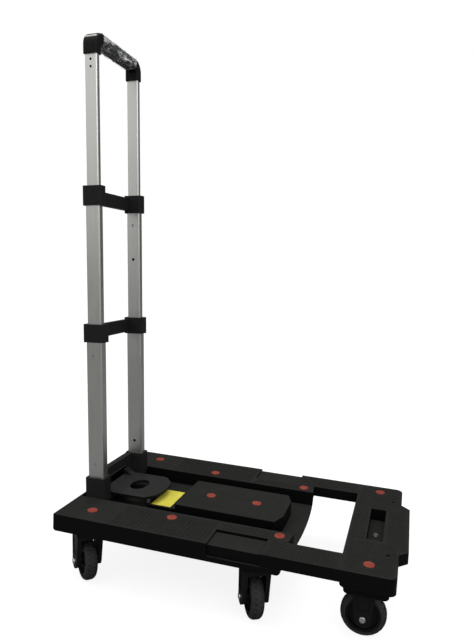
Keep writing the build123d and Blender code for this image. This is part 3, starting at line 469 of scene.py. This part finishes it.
def make_world():
    """White for the camera. What lights and mirrors in the cart is brightest high up behind the
    camera's side and fades towards the far side, like a studio with one open wall of light."""
    world = bpy.data.worlds.new("studio")
    bpy.context.scene.world = world
    world.use_nodes = True
    tree = world.node_tree
    background = tree.nodes["Background"]

    def add(kind, **values):
        node = tree.nodes.new(kind)
        for key, value in values.items():
            setattr(node, key, value)
        return node

    def ramp(value, low, high, from_low, from_high):
        node = add("ShaderNodeMapRange")
        limits = {"From Min": from_low, "From Max": from_high, "To Min": low, "To Max": high}
        for socket, number in limits.items():
            node.inputs[socket].default_value = number
        tree.links.new(value, node.inputs["Value"])
        return node.outputs["Result"]

    split = add("ShaderNodeSeparateXYZ")
    tree.links.new(add("ShaderNodeTexCoord").outputs["Generated"], split.inputs["Vector"])
    graded = add("ShaderNodeMath", operation="MULTIPLY")
    tree.links.new(ramp(split.outputs["Z"], HORIZON_LIGHT, HIGH_LIGHT, 0.0, HIGH), graded.inputs[0])
    tree.links.new(ramp(split.outputs["Y"], NEAR_LIGHT, FAR_LIGHT, NEAR_SIDE, FAR_SIDE), graded.inputs[1])
    seen = add("ShaderNodeMix", data_type="FLOAT")
    tree.links.new(add("ShaderNodeLightPath").outputs["Is Camera Ray"], seen.inputs["Factor"])
    tree.links.new(graded.outputs["Value"], seen.inputs["A"])
    seen.inputs["B"].default_value = 1.0
    tree.links.new(seen.outputs["Result"], background.inputs["Strength"])
    background.inputs["Color"].default_value = (1.0, 1.0, 1.0, 1.0)


def make_floor():
    """A pale floor, almost white to the camera, that throws little light back up."""
    mesh = bpy.data.meshes.new("floor")
    corners = [(FLOOR_SIZE * x, FLOOR_SIZE * y, 0) for x, y in ((-1, -1), (1, -1), (1, 1), (-1, 1))]
    mesh.from_pydata(corners, [], [(0, 1, 2, 3)])
    floor = bpy.data.objects.new("floor", mesh)
    bpy.context.scene.collection.objects.link(floor)
    finish = Finish("floor", (0.26, 0.26, 0.26), 0.75, specular=0.0)
    finish.rough(finish.remap(finish.noise(3.0), 0.70, 0.80))
    finish.set("Emission Color", (1.0, 1.0, 1.0, 1.0))
    glow = finish.add("ShaderNodeMath", operation="MULTIPLY")
    finish.link(finish.add("ShaderNodeLightPath").outputs["Is Camera Ray"], glow.inputs[0])
    glow.inputs[1].default_value = FLOOR_GLOW
    finish.link(glow.outputs["Value"], finish.shader.inputs["Emission Strength"])
    mesh.materials.append(finish.material)


def make_lamp(name, place, target, power, size):
    """A square soft light that points at a target."""
    data = bpy.data.lights.new(name, "AREA")
    data.size = size
    data.energy = power
    lamp = bpy.data.objects.new(name, data)
    bpy.context.scene.collection.objects.link(lamp)
    lamp.location = place
    lamp.rotation_mode = "QUATERNION"
    lamp.rotation_quaternion = (Vector(target) - Vector(place)).to_track_quat("-Z", "Y")


CAMERA_AHEAD = 606.03       # millimetres forward of the deck's rear edge
CAMERA_SIDE = -1.10315      # metres to the left of the cart's middle
CAMERA_HEIGHT = 0.62447     # metres above the floor
CAMERA_TURN = 16.53         # degrees from +Y towards -X
CAMERA_DIP = 5.92           # degrees below level
CAMERA_ROLL = 2.82
CAMERA_LENS = 32.94         # millimetres, as is the sensor
SENSOR_WIDTH = 36.0


def make_camera():
    """The camera stands in front of the cart's right side, a little above the middle of the handle."""
    place = Vector((ahead(CAMERA_AHEAD), CAMERA_SIDE, CAMERA_HEIGHT))
    turn, dip, roll = radians(CAMERA_TURN), radians(CAMERA_DIP), radians(CAMERA_ROLL)
    forward = Vector((-sin(turn) * cos(dip), cos(turn) * cos(dip), -sin(dip)))
    level = Vector((cos(turn), sin(turn), 0.0))
    upward = level.cross(forward)
    right = level * cos(roll) + upward * sin(roll)
    up = upward * cos(roll) - level * sin(roll)
    data = bpy.data.cameras.new("camera")
    data.sensor_width = SENSOR_WIDTH
    data.lens = CAMERA_LENS
    camera = bpy.data.objects.new("camera", data)
    bpy.context.scene.collection.objects.link(camera)
    turned = Matrix((right, up, -forward)).transposed()
    camera.matrix_world = Matrix.Translation(place) @ turned.to_4x4()
    bpy.context.scene.camera = camera


make_world()
make_floor()
make_lamp("overhead", (0.1, 0.1, 2.6), (0.0, 0.0, 0.1), 26.0, 2.2)
make_lamp("front", (1.3, -1.5, 1.7), (-0.25, 0.0, 0.7), 7.0, 0.9)
make_camera()
bpy.context.scene.view_settings.view_transform = "Standard"
